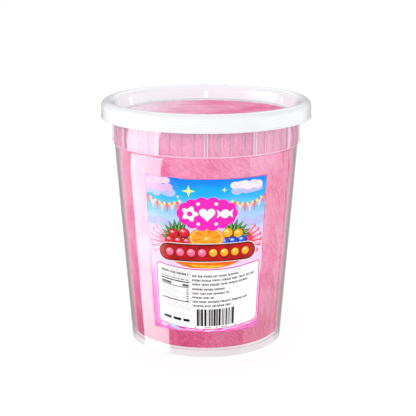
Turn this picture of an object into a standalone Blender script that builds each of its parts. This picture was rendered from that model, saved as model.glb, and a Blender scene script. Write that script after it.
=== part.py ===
"""A clear, lidded round tub packed full of cotton candy, with a wrapped label on its front.

One Blender script, in metres, +Z up. The origin is on the tub's axis, on the surface that it stands on,
and the label faces -Y. Everything turned is made from a profile of (radius, height) points.
"""

import math

import bmesh
import bpy
from mathutils import Vector

MM = 0.001

# Driving dimensions of the tub, in millimetres
SIDES = 60  # flats round the turned plastic
WALL = 1.1  # thickness of the tub's moulded wall
FOOT_RADIUS = 43.1  # outside, where it stands
SHOULDER_RADIUS = 51.75  # outside, at the top of the tapered wall
SHOULDER_HEIGHT = 113.5
COLLAR_RADIUS = 52.85  # outside, at the foot of the upright collar
COLLAR_FOOT_HEIGHT = 114.8
COLLAR_DRAFT = 0.3  # how much wider the collar is at its top
RIM_HEIGHT = 134.4  # top of the tub's own lip, inside the lid
LIP_RADIUS = 57.0
LIP_DROP = 2.6
FOOT_RECESS = 3.8  # how far the floor stands above the table
FOOT_WALL = 1.6
EDGE = 0.6  # the small rounding of moulded edges

# Ribs inside the collar: every RIB_PITCH degrees, and every fourth one is wide
RIB_PITCH = 7.5
RIBS_PER_WIDE = 4
THIN_RIB = 0.5
WIDE_RIB = 2.2
RIB_DEPTH = 0.55
RIB_TOP = 130.0

# Lid
LID_WALL = 0.8
LID_RADIUS = 58.9  # outside of the skirt
LID_BEAD = 0.3  # how far the skirt's lower bead stands out
LID_HEIGHT = 138.1  # crest of the rim, the top of the object
LID_SKIRT_FOOT = 128.4
CREST_RADIUS = 55.4
PANEL_HEIGHT = 130.1  # top face of the sunken panel
PANEL_RADIUS = 49.4
RECESS_TOP_RADIUS = 51.3
RECESS_TOP_HEIGHT = 135.2
LUGS = 6  # upright ribs on the wall of the recess
LUG_WIDTH = 2.4
LUG_DEPTH = 0.5  # how far they stand out of the wall
LUG_FOOT = 0.5
LUG_HEIGHT = 4.0
LUG_LEAN = 1.05  # how far the wall leans outwards over their height

# Cotton candy, clear of the plastic by GAP
GAP = 0.3
CANDY_SIDES = 48
CANDY_TOP = 128.9
CANDY_COLLAR_RADIUS = 50.8
CANDY_SHOULDER = 2.2  # rounding of its upper edge
CANDY_FOOT_ROUND = 1.8
HOLLOW = 0.5  # deepest dimple in its surface

# Label, a fan-shaped sheet with the same angle all the way down
LABEL_HALF_ANGLE = 39.9
LABEL_FOOT = 15.4
LABEL_TOP = 103.0
LABEL_THICKNESS = 0.15
LABEL_GAP = 0.1


def wall_radius(height):
    """Outside radius of the tapered wall at a height."""
    return FOOT_RADIUS + (SHOULDER_RADIUS - FOOT_RADIUS) * height / SHOULDER_HEIGHT


def arc(centre, radius, start, end, steps):
    """Points on an arc in the profile's plane. Angles are in degrees from the outward radius, towards +Z."""
    angles = (math.radians(start + (end - start) * i / steps) for i in range(steps + 1))
    return [(centre[0] + radius * math.cos(a), centre[1] + radius * math.sin(a)) for a in angles]


def turned(name, profile, sides, shift=None):
    """Turns a closed profile round Z. It runs from the axis up the outside and back to the axis.

    shift(radius, height, angle) may move a point off its true circle.
    """
    mesh_data = bpy.data.meshes.new(name)
    mesh = bmesh.new()
    rings = []
    for radius, height in profile:
        if radius == 0:
            rings.append([mesh.verts.new((0, 0, height * MM))] * sides)
            continue
        ring = []
        for side in range(sides):
            angle = math.tau * side / sides
            r, z = shift(radius, height, angle) if shift else (radius, height)
            ring.append(mesh.verts.new((r * math.cos(angle) * MM, r * math.sin(angle) * MM, z * MM)))
        rings.append(ring)
    for lower, upper in zip(rings, rings[1:]):
        for side in range(sides):
            after = (side + 1) % sides
            corners = [lower[side], lower[after], upper[after], upper[side]]
            mesh.faces.new(dict.fromkeys(corners))
    mesh.normal_update()
    mesh.to_mesh(mesh_data)
    mesh.free()
    piece = bpy.data.objects.new(name, mesh_data)
    bpy.context.scene.collection.objects.link(piece)
    return piece


def add_block(mesh, angle, width, heights, foot_radii, top_radii):
    """Adds a block to a bmesh, facing outwards at an angle in degrees. Its top may lean outwards."""
    outward = Vector((math.cos(math.radians(angle)), math.sin(math.radians(angle)), 0))
    sideways = Vector((-outward.y, outward.x, 0))
    corners = {}
    for k, (height, radii) in enumerate(zip(heights, (foot_radii, top_radii))):
        for i, radius in enumerate(radii):
            for j, side in enumerate((-width / 2, width / 2)):
                place = outward * radius + sideways * side + Vector((0, 0, height))
                corners[i, j, k] = mesh.verts.new(place * MM)
    for axis in range(3):
        for end in (0, 1):
            loop = []
            for a, b in ((0, 0), (0, 1), (1, 1), (1, 0)):
                index = [a, b]
                index.insert(axis, end)
                loop.append(corners[tuple(index)])
            mesh.faces.new(loop)


def blocks(name, settings):
    """One helper mesh holding a block for each setting, kept out of the render."""
    mesh_data = bpy.data.meshes.new(name)
    mesh = bmesh.new()
    for setting in settings:
        add_block(mesh, *setting)
    bmesh.ops.recalc_face_normals(mesh, faces=mesh.faces)
    mesh.to_mesh(mesh_data)
    mesh.free()
    helper = bpy.data.objects.new(name, mesh_data)
    bpy.context.scene.collection.objects.link(helper)
    helper.hide_render = True
    helper.display_type = "WIRE"
    return helper


def unite(piece, helper):
    """Joins the helper's blocks to the piece."""
    union = piece.modifiers.new("Union", "BOOLEAN")
    union.operation = "UNION"
    union.object = helper


def finish(piece, colour, roughness, smooth_below=35.0, **inputs):
    """Gives a piece its own Principled material and smooth round faces."""
    material = bpy.data.materials.new(piece.name)
    material.use_nodes = True
    shader = material.node_tree.nodes["Principled BSDF"]
    shader.inputs["Base Color"].default_value = (*colour, 1)
    shader.inputs["Roughness"].default_value = roughness
    shader.inputs["Metallic"].default_value = 0.0
    for socket, value in inputs.items():
        shader.inputs[socket.replace("_", " ")].default_value = value
    piece.data.materials.append(material)
    piece.data.shade_smooth()
    piece.data.set_sharp_from_angle(angle=math.radians(smooth_below))


def tub_profile():
    """Up the outside from the floor's underside, over the lip, and down the inside to the floor."""
    floor = FOOT_RECESS + WALL
    collar_top_radius = COLLAR_RADIUS + COLLAR_DRAFT
    foot_inside = FOOT_RADIUS - FOOT_WALL
    outside = [
        (0, FOOT_RECESS),
        (foot_inside - 1.2, FOOT_RECESS),
        (foot_inside - 0.3, FOOT_RECESS - 0.4),
        (foot_inside, FOOT_RECESS - 1.2),
        (foot_inside, 0.2),
        (foot_inside + 0.2, 0),
        *arc((FOOT_RADIUS - EDGE, EDGE), EDGE, -90, 0, 2),
        (SHOULDER_RADIUS, SHOULDER_HEIGHT),
        (COLLAR_RADIUS - 0.15, COLLAR_FOOT_HEIGHT - 0.4),
        (COLLAR_RADIUS, COLLAR_FOOT_HEIGHT),
        (collar_top_radius, RIM_HEIGHT - WALL - EDGE),
        (collar_top_radius + EDGE, RIM_HEIGHT - WALL),
        (LIP_RADIUS - WALL, RIM_HEIGHT - WALL),
        (LIP_RADIUS - WALL, RIM_HEIGHT - LIP_DROP),
        (LIP_RADIUS, RIM_HEIGHT - LIP_DROP),
        *arc((LIP_RADIUS - EDGE, RIM_HEIGHT - EDGE), EDGE, 0, 90, 2),
    ]
    inside_taper = wall_radius(0) - WALL
    inside = [
        (collar_top_radius - WALL + EDGE, RIM_HEIGHT),
        (collar_top_radius - WALL, RIM_HEIGHT - EDGE),
        (COLLAR_RADIUS - WALL, COLLAR_FOOT_HEIGHT + 0.2),
        (SHOULDER_RADIUS - WALL, SHOULDER_HEIGHT + 0.1),
        *arc((inside_taper + 0.4 - 1.5, floor + 1.5), 1.5, 0, -90, 3),
        (0, floor),
    ]
    return outside + inside


def make_tub():
    tub = turned("tub", tub_profile(), SIDES)
    inner = COLLAR_RADIUS - WALL
    settings = []
    for rib in range(round(360 / RIB_PITCH)):
        width = THIN_RIB if rib % RIBS_PER_WIDE else WIDE_RIB
        radii = (inner - RIB_DEPTH, inner + WALL / 2)
        settings.append((rib * RIB_PITCH - 90, width, (COLLAR_FOOT_HEIGHT - 0.9, RIB_TOP), radii, radii))
    unite(tub, blocks("rib_blocks", settings))
    finish(tub, (0.92, 0.93, 0.95), 0.08, Transmission_Weight=0.9, IOR=1.49)


def lid_profile():
    """From the panel's underside out, up and round the skirt, over the crest and back into the recess."""
    under = PANEL_HEIGHT - LID_WALL
    outer_round = LID_RADIUS - CREST_RADIUS
    shoulder = (CREST_RADIUS, LID_HEIGHT - outer_round)
    inner_round = CREST_RADIUS - RECESS_TOP_RADIUS
    hollow_of_crest = (CREST_RADIUS, LID_HEIGHT - inner_round)
    below = [
        (0, under),
        (PANEL_RADIUS + 0.2, under),
        (PANEL_RADIUS + 1.2, under + 1.4),
        (RECESS_TOP_RADIUS + LID_WALL, RECESS_TOP_HEIGHT - 0.2),
        *arc(hollow_of_crest, inner_round - LID_WALL, 165, 90, 3),
        *arc(shoulder, outer_round - LID_WALL, 60, 0, 2),
        (LID_RADIUS - LID_WALL, LID_SKIRT_FOOT + 1.9),
        (LID_RADIUS - LID_WALL - 0.5, LID_SKIRT_FOOT + 1.1),
        (LID_RADIUS - LID_WALL, LID_SKIRT_FOOT),
    ]
    above = [
        (LID_RADIUS + LID_BEAD - 0.2, LID_SKIRT_FOOT),
        (LID_RADIUS + LID_BEAD, LID_SKIRT_FOOT + 0.3),
        (LID_RADIUS + LID_BEAD, LID_SKIRT_FOOT + 0.9),
        (LID_RADIUS, LID_SKIRT_FOOT + 1.3),
        *arc(shoulder, outer_round, 0, 90, 4),
        *arc(hollow_of_crest, inner_round, 110, 165, 2),
        (PANEL_RADIUS + 0.8, PANEL_HEIGHT + 1.0),
        (PANEL_RADIUS, PANEL_HEIGHT + 0.2),
        (PANEL_RADIUS - 0.8, PANEL_HEIGHT),
        (0, PANEL_HEIGHT),
    ]
    return below + above


def make_lid():
    lid = turned("lid", lid_profile(), SIDES)
    heights = (PANEL_HEIGHT + LUG_FOOT, PANEL_HEIGHT + LUG_FOOT + LUG_HEIGHT)
    foot_radii = (PANEL_RADIUS + 0.8 - LUG_DEPTH, PANEL_RADIUS + 1.0)
    top_radii = tuple(radius + LUG_LEAN for radius in foot_radii)
    settings = [
        (lug * 360 / LUGS - 90, LUG_WIDTH, heights, foot_radii, top_radii) for lug in range(LUGS)
    ]
    unite(lid, blocks("lug_blocks", settings))
    finish(lid, (0.93, 0.94, 0.95), 0.3, Transmission_Weight=0.5, IOR=1.49)


def candy_profile():
    """The tub's inside, less the gap, up to a rounded upper edge and a nearly flat top."""
    foot = FOOT_RECESS + WALL + GAP
    foot_radius = wall_radius(foot) - WALL - GAP
    shoulder_radius = SHOULDER_RADIUS - WALL - GAP
    corner = CANDY_FOOT_ROUND
    rows = 6
    side = []
    for row in range(1, rows + 1):
        share = row / rows
        side.append(
            (
                foot_radius + (shoulder_radius - foot_radius) * share,
                foot + corner + (SHOULDER_HEIGHT - foot - corner) * share,
            )
        )
    upper = (CANDY_COLLAR_RADIUS - CANDY_SHOULDER, CANDY_TOP - CANDY_SHOULDER)
    return [
        (0, foot),
        (foot_radius * 0.5, foot),
        *arc((foot_radius - corner, foot + corner), corner, -90, 0, 2),
        *side,
        (CANDY_COLLAR_RADIUS, SHOULDER_HEIGHT + 3),
        *arc(upper, CANDY_SHOULDER, 0, 90, 3),
        (upper[0] * 0.85, CANDY_TOP),
        (upper[0] * 0.6, CANDY_TOP),
        (upper[0] * 0.3, CANDY_TOP),
        (0, CANDY_TOP),
    ]


def dimpled(radius, height, angle):
    """Presses the candy's surface in, by up to HOLLOW, in soft uneven dimples."""
    wave = math.sin(3 * angle + height / 17) + math.sin(7 * angle - height / 11 + 1.3)
    depth = HOLLOW * (0.5 - 0.25 * wave)
    if height > CANDY_TOP - 0.1:
        swell = math.sin(2 * angle + radius / 9) * math.cos(radius / 13)
        return radius, height - HOLLOW * (0.5 + 0.5 * swell)
    return radius - depth, height


def make_candy():
    candy = turned("candy", candy_profile(), CANDY_SIDES, dimpled)
    finish(candy, (0.93, 0.38, 0.58), 0.9, smooth_below=60.0)


def flat_radius(radius, angle):
    """Radius of the tub's flats at an angle from the label's middle, where the true circle has this radius."""
    step = math.tau / SIDES
    off_middle = (angle % step) - step / 2
    return radius * math.cos(step / 2) / math.cos(off_middle)


def make_label():
    """Two sheets of points that follow the tub's flats, joined at their edges."""
    half = math.radians(LABEL_HALF_ANGLE)
    step = math.tau / SIDES
    corners = int(half / step)
    angles = [-half, *(i * step for i in range(-corners, corners + 1)), half]
    mesh_data = bpy.data.meshes.new("label")
    mesh = bmesh.new()
    sheets = []
    for off in (LABEL_GAP, LABEL_GAP + LABEL_THICKNESS):
        for height in (LABEL_FOOT, LABEL_TOP):
            row = []
            for angle in angles:
                radius = flat_radius(wall_radius(height) + off, angle)
                place = Vector((radius * math.sin(angle), -radius * math.cos(angle), height))
                row.append(mesh.verts.new(place * MM))
            sheets.append(row)
    back_foot, back_top, front_foot, front_top = sheets
    for lower, upper in (
        (front_foot, front_top),
        (front_top, back_top),
        (back_top, back_foot),
        (back_foot, front_foot),
    ):
        for i in range(len(angles) - 1):
            mesh.faces.new((lower[i], lower[i + 1], upper[i + 1], upper[i]))
    for i in (0, -1):
        mesh.faces.new((back_foot[i], back_top[i], front_top[i], front_foot[i]))
    bmesh.ops.recalc_face_normals(mesh, faces=mesh.faces)
    mesh.to_mesh(mesh_data)
    mesh.free()
    label = bpy.data.objects.new("label", mesh_data)
    bpy.context.scene.collection.objects.link(label)
    finish(label, (0.95, 0.75, 0.86), 0.25)


def main():
    for obj in list(bpy.data.objects):
        bpy.data.objects.remove(obj)
    make_tub()
    make_lid()
    make_candy()
    make_label()


main()
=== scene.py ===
"""A lidded tub of cotton candy: smooth clear plastic, a fibrous filling and a printed label.

Lengths below are in millimetres and turn into metres where a mesh is made. The tub stands on z = 0 and its
label faces -Y.
"""

import math
import random

import bmesh
import bpy
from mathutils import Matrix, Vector, geometry, noise


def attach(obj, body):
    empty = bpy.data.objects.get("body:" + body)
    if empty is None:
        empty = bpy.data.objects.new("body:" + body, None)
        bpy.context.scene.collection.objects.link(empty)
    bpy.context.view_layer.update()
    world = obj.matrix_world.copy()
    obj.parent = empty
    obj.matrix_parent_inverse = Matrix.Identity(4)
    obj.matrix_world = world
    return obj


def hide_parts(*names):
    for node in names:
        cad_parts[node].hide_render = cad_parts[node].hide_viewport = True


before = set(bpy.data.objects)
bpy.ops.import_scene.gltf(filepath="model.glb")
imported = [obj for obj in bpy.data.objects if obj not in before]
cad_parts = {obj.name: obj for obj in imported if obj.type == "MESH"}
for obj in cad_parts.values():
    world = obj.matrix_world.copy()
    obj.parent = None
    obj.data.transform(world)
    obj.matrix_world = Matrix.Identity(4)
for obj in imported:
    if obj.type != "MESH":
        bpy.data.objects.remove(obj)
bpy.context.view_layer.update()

MM = 0.001

# Tub
WALL = 1.1
FOOT_RADIUS = 43.1
SHOULDER_RADIUS = 51.75
SHOULDER_HEIGHT = 113.5
COLLAR_RADIUS = 52.85
COLLAR_FOOT_HEIGHT = 114.8
COLLAR_DRAFT = 0.3
RIM_HEIGHT = 134.4
LIP_RADIUS = 57.0
LIP_DROP = 2.6
FOOT_RECESS = 3.8
FOOT_WALL = 1.6
EDGE = 0.6
RIB_PITCH = 7.5
RIBS_PER_WIDE = 4
THIN_RIB = 0.5
WIDE_RIB = 2.2
RIB_DEPTH = 0.55
RIB_TOP = 130.0

# Lid
LID_WALL = 0.8
LID_RADIUS = 58.9
LID_BEAD = 0.3
LID_HEIGHT = 138.1
LID_SKIRT_FOOT = 128.4
CREST_RADIUS = 55.4
PANEL_HEIGHT = 130.1
PANEL_RADIUS = 49.4
RECESS_TOP_RADIUS = 51.3
RECESS_TOP_HEIGHT = 135.2
PANEL_EDGE = PANEL_RADIUS - 0.5  # where the clear panel ends
RECESS_FOOT = PANEL_RADIUS + 0.4  # where the milky wall round it starts
LUGS = 6
LUG_WIDTH = 2.4
LUG_DEPTH = 0.5

# Candy
CANDY_FOOT = FOOT_RECESS + WALL - 0.1
CANDY_TOP = 129.4  # just into the lid's panel
CANDY_FOOT_ROUND = 1.8
CANDY_TOP_ROUND = 2.6
CANDY_COLLAR_RADIUS = 50.9
INTO_WALL = 0.12  # how far it reaches into the tub's wall

# Label, drawn flat in millimetres: u round the tub from the label's middle, v up
LABEL_HALF_ANGLE = 39.9
LABEL_FOOT = 15.4
LABEL_TOP = 103.0
LABEL_REFERENCE_RADIUS = 47.4  # where one drawn millimetre is one real one
LABEL_HALF_WIDTH = math.radians(LABEL_HALF_ANGLE) * LABEL_REFERENCE_RADIUS
LABEL_STAND_OFF = 0.2
LABEL_FILM = 0.14
SAG = 3.3  # how much lower the lower half of the print hangs in its middle than at its sides
SAG_REACH = 30.0  # how far from its middle it stops hanging

ROUND_SIDES = 240


# -------- small tools


def srgb(red, green, blue):
    """A screen colour, 0 to 255, as a linear one."""
    shares = (red / 255, green / 255, blue / 255)
    return tuple((c / 12.92 if c <= 0.04045 else ((c + 0.055) / 1.055) ** 2.4) for c in shares)


def arc(centre, radius, start, end, steps):
    angles = (math.radians(start + (end - start) * i / steps) for i in range(steps + 1))
    return [(centre[0] + radius * math.cos(a), centre[1] + radius * math.sin(a)) for a in angles]


def wall_radius(height):
    """Outside radius of the tub's tapered wall at a height."""
    return FOOT_RADIUS + (SHOULDER_RADIUS - FOOT_RADIUS) * height / SHOULDER_HEIGHT


def finished(name, mesh):
    """Turns the mesh that was being edited into mesh data."""
    mesh_data = bpy.data.meshes.new(name)
    mesh.to_mesh(mesh_data)
    mesh.free()
    return mesh_data


def linked(name, data):
    """A new object in the scene."""
    result = bpy.data.objects.new(name, data)
    bpy.context.scene.collection.objects.link(result)
    return result


def place(name, mesh_data, materials, sharp, node=None):
    """Makes a mesh a piece that rides on the part's one body. Its edges over sharp degrees stay sharp."""
    piece = linked(name, mesh_data)
    for material in materials:
        mesh_data.materials.append(material)
    mesh_data.shade_smooth()
    mesh_data.set_sharp_from_angle(angle=math.radians(sharp))
    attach(piece, "root")
    if node:
        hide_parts(node)
    return piece


def turned_mesh(name, profile, sides):
    """Turns a closed profile of (radius, height) round Z, from the axis up the outside and back to it."""
    mesh = bmesh.new()
    rings = []
    for radius, height in profile:
        if radius == 0:
            rings.append([mesh.verts.new((0, 0, height * MM))] * sides)
            continue
        ring = []
        for side in range(sides):
            angle = math.tau * side / sides
            x, y = radius * math.cos(angle) * MM, radius * math.sin(angle) * MM
            ring.append(mesh.verts.new((x, y, height * MM)))
        rings.append(ring)
    for lower, upper in zip(rings, rings[1:]):
        for side in range(sides):
            after = (side + 1) % sides
            corners = [lower[side], lower[after], upper[after], upper[side]]
            mesh.faces.new(dict.fromkeys(corners))
    return finished(name, mesh)


def loft(mesh, degrees, sections, marked=()):
    """Adds a closed upright bar at an angle round the tub from the middle of its front.

    Each section is a height and points of (sideways, outward). The marked sides take the second material.
    """
    angle = math.radians(degrees - 90)
    outward = Vector((math.cos(angle), math.sin(angle), 0))
    sideways = Vector((-outward.y, outward.x, 0))
    rows = []
    for height, points in sections:
        rise = Vector((0, 0, height))
        rows.append([mesh.verts.new((outward * r + sideways * s + rise) * MM) for s, r in points])
    for lower, upper in zip(rows, rows[1:]):
        for i in range(len(lower)):
            j = (i + 1) % len(lower)
            side = mesh.faces.new((lower[i], lower[j], upper[j], upper[i]))
            side.material_index = 1 if i in marked else 0
    mesh.faces.new(rows[0])
    mesh.faces.new(rows[-1])


# -------- materials


class Nodes:
    """Short way to build a node material."""

    def __init__(self, name):
        self.material = bpy.data.materials.new(name)
        self.material.use_nodes = True
        self.tree = self.material.node_tree
        self.shader = self.tree.nodes["Principled BSDF"]
        self.output = self.tree.nodes["Material Output"]

    def add(self, kind, inputs=None, **settings):
        node = self.tree.nodes.new(kind)
        for key, value in settings.items():
            setattr(node, key, value)
        for key, value in (inputs or {}).items():
            self.feed(node, key, value)
        return node

    def feed(self, node, key, value):
        if isinstance(value, bpy.types.NodeSocket):
            self.tree.links.new(value, node.inputs[key])
        else:
            node.inputs[key].default_value = value

    def set(self, **inputs):
        for key, value in inputs.items():
            self.feed(self.shader, key.replace("_", " "), value)

    def ramp(self, fac, stops, interpolation="LINEAR"):
        node = self.add("ShaderNodeValToRGB", {"Fac": fac})
        node.color_ramp.interpolation = interpolation
        elements = node.color_ramp.elements
        while len(elements) < len(stops):
            elements.new(0.5)
        for element, (position, colour) in zip(elements, stops):
            element.position = position
            element.color = (*colour, 1)
        return node.outputs["Color"]

    def level(self, fac, stops):
        """A ramp of plain numbers."""
        return self.ramp(fac, [(position, (value, value, value)) for position, value in stops])

    def math(self, operation, first, second=0.0):
        return self.add("ShaderNodeMath", {0: first, 1: second}, operation=operation).outputs[0]

    def times(self, first, second):
        return self.math("MULTIPLY", first, second)

    def split(self, vector):
        """The X, Y and Z of a vector."""
        return self.add("ShaderNodeSeparateXYZ", {0: vector}).outputs

    def facing(self):
        """0 where a surface is seen head on, 1 where it is seen edge on."""
        return self.add("ShaderNodeLayerWeight", {"Blend": 0.5}).outputs["Facing"]

    def mix(self, fac, first, second, blend="MIX"):
        node = self.add("ShaderNodeMix", data_type="RGBA", blend_type=blend)
        self.feed(node, 0, fac)
        for index, value in ((6, first), (7, second)):
            if isinstance(value, tuple):
                value = (*value, 1)
            self.feed(node, index, value)
        return node.outputs[2]

    def place(self, scale=(1, 1, 1), turn=(0, 0, 0), source="Object", kind="POINT"):
        coordinates = self.add("ShaderNodeTexCoord")
        inputs = {"Vector": coordinates.outputs[source], "Scale": scale, "Rotation": turn}
        return self.add("ShaderNodeMapping", inputs, vector_type=kind).outputs[0]

    def noise(self, vector, scale, detail=3.0, rough=0.5, distortion=0.0):
        inputs = {"Vector": vector, "Scale": scale, "Detail": detail, "Roughness": rough}
        inputs["Distortion"] = distortion
        return self.add("ShaderNodeTexNoise", inputs).outputs["Fac"]

    def bump(self, height, strength, distance):
        inputs = {"Height": height, "Strength": strength, "Distance": distance}
        return self.add("ShaderNodeBump", inputs).outputs[0]

    def let_through(self, solid, tint):
        """Shows what is behind, tinted, as far as the plastic isn't solid."""
        clear = self.add("ShaderNodeBsdfTransparent", {"Color": tint})
        mixed = self.add("ShaderNodeMixShader", {0: solid, 1: clear.outputs[0], 2: self.shader.outputs[0]})
        self.tree.links.new(mixed.outputs[0], self.output.inputs[0])


def clear_plastic(name, solidity, mirror, tint):
    """Thin clear plastic. Each list runs from head on at 0 to edge on at 1.

    solidity is how much it hides, mirror how much of that is reflection and the rest milkiness, and tint its
    colour.
    """
    n = Nodes(name)
    facing = n.facing()
    scuffs = n.noise(n.place((1, 1, 0.2)), 900, 4, 0.6)
    n.set(
        Base_Color=n.ramp(facing, tint),
        Metallic=n.level(facing, mirror),
        Roughness=n.level(scuffs, [(0.3, 0.042), (0.8, 0.096)]),
        Normal=n.bump(n.noise(n.place(), 55, 2), 0.011, 0.0005),
    )
    n.let_through(n.level(facing, solidity), (0.996, 0.994, 0.997, 1))
    return n.material


def milky_plastic(name, colour, solidity, edge_shade_colour, radii=None, glow=None):
    """Milky plastic, more solid where it is seen edge on, and darker there: a painted shade towards its
    silhouettes.

    solidity is a list of (facing, value). The other two are given together or not at all, and run over the
    radius from the axis: radii gives the share of that solidity, and glow a painted glow, an emission that
    stands in for the daylight that comes through.
    """
    n = Nodes(name)
    facing = n.facing()
    solid = n.level(facing, solidity)
    if radii:
        x, y, _ = n.split(n.place())
        squares = n.math("ADD", n.times(x, x), n.times(y, y))
        radius = n.math("DIVIDE", n.math("SQRT", squares), LID_RADIUS * MM)
        solid = n.times(solid, n.level(radius, [(r / LID_RADIUS, value) for r, value in radii]))
        # Painted light: the plastic glows by emission, as if daylight came through it.
        painted_glow = n.level(radius, [(r / LID_RADIUS, value) for r, value in glow])
        n.set(Emission_Color=(0.94, 0.97, 1.0, 1.0), Emission_Strength=painted_glow)
    streaks = n.noise(n.place((0.15, 0.15, 6)), 260, 3, 0.6)
    # Painted shade: towards the silhouettes the colour turns to the darker edge colour.
    painted_edge_shade = n.level(facing, [(0.68, 0.0), (0.97, 1.0)])
    n.set(
        Base_Color=n.mix(painted_edge_shade, srgb(*colour), srgb(*edge_shade_colour)),
        Roughness=n.level(streaks, [(0.3, 0.16), (0.75, 0.34)]),
        Normal=n.bump(streaks, 0.05, 0.0002),
    )
    n.let_through(solid, (0.99, 0.995, 0.995, 1))
    return n.material


def spun_sugar(name, *colours):
    """Pink floss: fine slanting fibres over soft uneven patches.

    It is darker towards the foot, a painted shade, and paler inside the collar and towards the left end of
    its top, painted light. The four colours run from its deepest to its palest.
    """
    n = Nodes(name)
    deep, middle, painted_collar_light, pale = (srgb(*colour) for colour in colours)
    soft = n.noise(n.place(), 30, 2, 0.5)
    cloudy = n.noise(n.place(), 90, 2, 0.5)
    fibres = n.noise(n.place((1, 2.8, 1), (0, 0, 0.8), "UV", "TEXTURE"), 105, 3, 0.7, 0.9)
    hairs = n.noise(n.place((1, 2.4, 1), (0, 0, 0.95), "UV", "TEXTURE"), 190, 2, 0.8, 1.2)
    x, _, z = n.split(n.place())
    height = n.math("DIVIDE", z, LID_HEIGHT * MM)
    # Painted shade and light by height: deepest at the foot, paler inside the collar.
    painted_height_tones = [(0.04, deep), (0.14, deep), (0.36, middle), (0.81, middle), (0.86, painted_collar_light), (0.925, painted_collar_light)]
    painted_light_and_shade = n.ramp(height, [*painted_height_tones, (0.932, middle)])
    # Fewer pale patches low down, so the painted shade at the foot stays deep.
    fewer_patches_low = n.level(height, [(0.1, 0.25), (0.3, 1.0)])
    patchy = n.mix(n.times(n.level(soft, [(0.4, 0.0), (0.62, 0.7)]), fewer_patches_low), painted_light_and_shade, pale)
    patchy = n.mix(n.times(n.level(cloudy, [(0.42, 0.0), (0.7, 0.4)]), fewer_patches_low), patchy, pale)
    # Painted light: the left end of the top turns paler, as if lit from the left.
    sideways = n.math("ADD", n.times(x, 10.0), 0.5)
    leftwards = n.level(sideways, [(0.08, 0.95), (0.2, 0.85), (0.38, 0.25), (0.62, 0.0)])
    painted_left_light = n.times(leftwards, n.level(height, [(0.925, 0.0), (0.932, 1.0)]))
    # Fewer combed streaks low down too, for the same painted shade at the foot.
    above_foot = n.level(height, [(0.1, 0.55), (0.3, 1.0)])
    combed = n.times(n.level(fibres, [(0.45, 0.0), (0.6, 0.5)]), above_foot)
    drawn = n.mix(painted_left_light, n.mix(combed, patchy, pale), (1.0, 0.86, 0.95))
    calm = n.level(height, [(0.925, 1.0), (0.932, 0.3)])
    n.set(
        Base_Color=n.mix(n.times(n.level(hairs, [(0.4, 0.4), (0.54, 0.0)]), calm), drawn, deep),
        Roughness=n.level(fibres, [(0.3, 0.95), (0.8, 0.75)]),
        Sheen_Weight=0.1,
        Sheen_Roughness=0.5,
        Sheen_Tint=(1.0, 0.8, 0.9, 1.0),
        Specular_IOR_Level=0.1,
        Normal=n.bump(fibres, 0.4, 0.0004),
    )
    return n.material


def plain_ink(name, colour, other=None):
    """Glossy print. Where other is given, the ink wanders softly between the two colours."""
    n = Nodes(name)
    coordinates = n.place(source="UV")
    grain = n.noise(coordinates, 260, 2, 0.6)
    shade = n.noise(coordinates, 22, 3, 0.6)
    base = n.mix(n.level(shade, [(0.35, 0.0), (0.65, 1.0)]), srgb(*colour), srgb(*(other or colour)))
    dark = n.mix(1.0, base, (0.93, 0.93, 0.93), "MULTIPLY")
    n.set(
        Base_Color=n.mix(n.level(grain, [(0.3, 0.0), (0.7, 1.0)]), dark, base),
        Roughness=n.level(grain, [(0.3, 0.22), (0.7, 0.3)]),
        Specular_IOR_Level=0.22,
    )
    return n.material


def faded_ink(name, stops, streak):
    """Glossy print that fades up the label."""
    n = Nodes(name)
    coordinates = n.place(source="UV")
    _, share, _ = n.split(coordinates)
    waves = n.noise(n.place((1.0, 2.6, 1), source="UV"), 3.2, 4, 0.6, 0.6)
    share = n.math("ADD", share, n.times(n.math("SUBTRACT", waves, 0.5), streak))
    grain = n.noise(coordinates, 260, 2, 0.6)
    n.set(
        Base_Color=n.ramp(share, [(position, srgb(*colour)) for position, colour in stops], "EASE"),
        Roughness=n.level(grain, [(0.3, 0.22), (0.7, 0.3)]),
        Specular_IOR_Level=0.22,
    )
    return n.material


# -------- tub


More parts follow.
